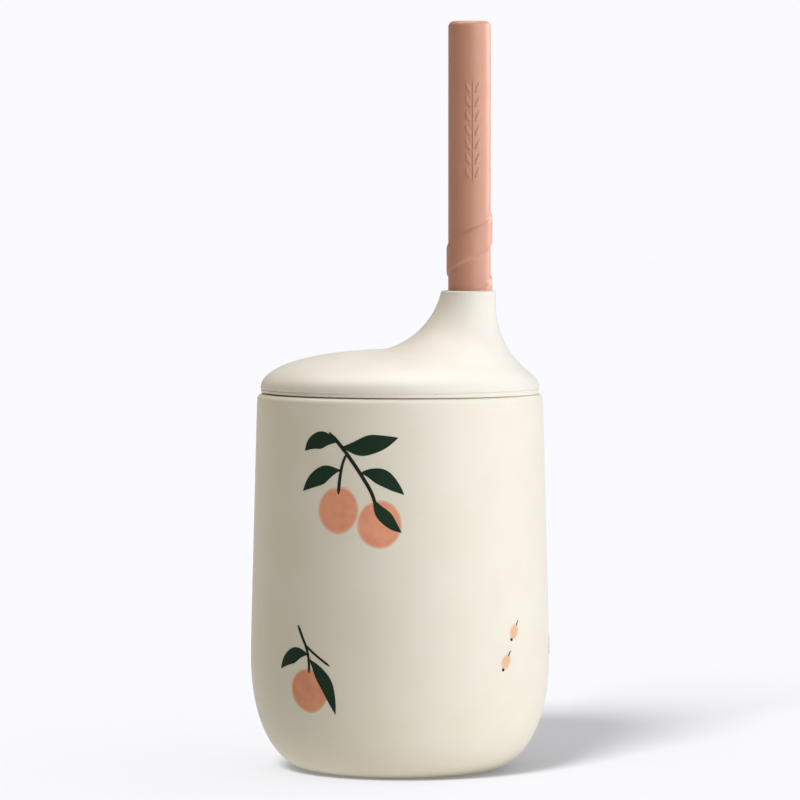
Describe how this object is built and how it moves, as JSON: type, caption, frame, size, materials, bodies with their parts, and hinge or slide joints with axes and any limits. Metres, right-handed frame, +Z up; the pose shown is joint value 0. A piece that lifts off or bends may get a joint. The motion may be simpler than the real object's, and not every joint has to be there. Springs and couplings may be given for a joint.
{
  "type": "toddler straw cup",
  "caption": "Rounded soft cup with a plug-in domed lid whose swept neck stands to one side and grips a straw with a raised spiral.",
  "frame": {"origin": "on the cup's axis, in the plane of the foot ring that it stands on", "axes": "+Z up along the cup's axis, +X towards the straw, which stands 16.2 mm off the axis"},
  "size_m": [0.0698, 0.0698, 0.1747],
  "materials": {
    "cup_silicone": "matte cream moulded silicone",
    "lid_silicone": "matte cream moulded silicone",
    "straw_silicone": "matte dusty terracotta moulded silicone",
    "leaf_ink": "matte dark green silicone ink, screen printed on the cup",
    "twig_ink": "matte brown-black silicone ink, screen printed on the cup",
    "fruit_ink": "matte peach silicone ink with soft edges, screen printed on the cup",
    "bud_ink": "matte pale peach silicone ink, screen printed on the cup"
  },
  "bodies": {
    "cup": {"cup": "cup_silicone"},
    "lid": {"lid": "lid_silicone"},
    "straw": {"straw": "straw_silicone"}
  },
  "joints": [
    {"name": "lid_pull", "type": "slide", "parent": "cup", "child": "lid", "axis": [0, 0, 1], "range_m": [0, 0.1]},
    {"name": "straw_pull", "type": "slide", "parent": "lid", "child": "straw", "axis": [0, 0, 1], "range_m": [0, 0.11]}
  ]
}
